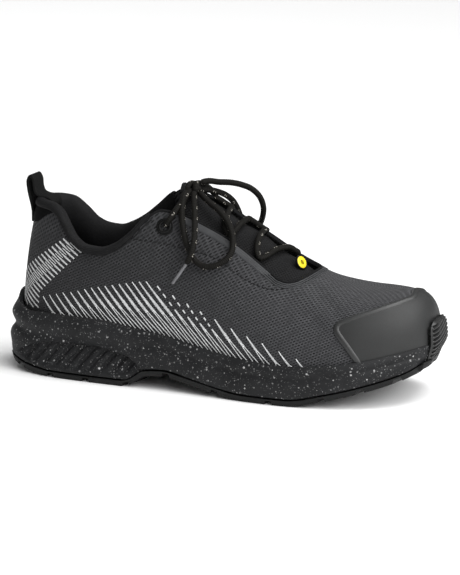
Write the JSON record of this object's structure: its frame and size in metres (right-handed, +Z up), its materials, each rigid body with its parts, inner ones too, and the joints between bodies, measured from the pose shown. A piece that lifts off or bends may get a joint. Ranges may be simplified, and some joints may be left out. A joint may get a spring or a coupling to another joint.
{
  "type": "safety shoe",
  "caption": "Low lace-up safety shoe with a striped knit upper, smooth toe cap, speckled foam midsole, lugged rubber outsole and heel pull loop.",
  "frame": {"origin": "on the ground under the middle of the shoe's box", "axes": "+X towards the toe, +Y towards the inner (medial) side of this right shoe, +Z up"},
  "size_m": [0.3, 0.106, 0.1336],
  "materials": {
    "outsole_rubber": "matt moulded",
    "midsole_foam": "matt foam with pale speckles",
    "insole_fabric": "short pile",
    "upper_knit": "dense knit with pale stripes",
    "tongue_knit": "padded knit",
    "cap_plastic": "fine grained satin",
    "webbing": "woven",
    "eyelet_plastic": "smooth",
    "tag_yellow": "smooth",
    "lace_cord": "round braid with pale flecks",
    "tip_plastic": "smooth"
  },
  "bodies": {
    "root": {"outsole": "outsole_rubber", "midsole": "midsole_foam", "insole": "insole_fabric", "upper": "upper_knit", "tongue": "tongue_knit", "toe_cap": "cap_plastic", "pull_loop": "webbing", "eyelet_lateral": "eyelet_plastic", "eyelet_medial": "eyelet_plastic", "tag": "tag_yellow", "lace_crossings": "lace_cord", "lace_knot": "lace_cord", "lace_loop_lateral": "lace_cord", "lace_loop_medial": "lace_cord", "lace_end_lateral": "lace_cord", "lace_end_medial": "lace_cord", "lace_tip_lateral": "tip_plastic", "lace_tip_medial": "tip_plastic"}
  },
  "joints": []
}
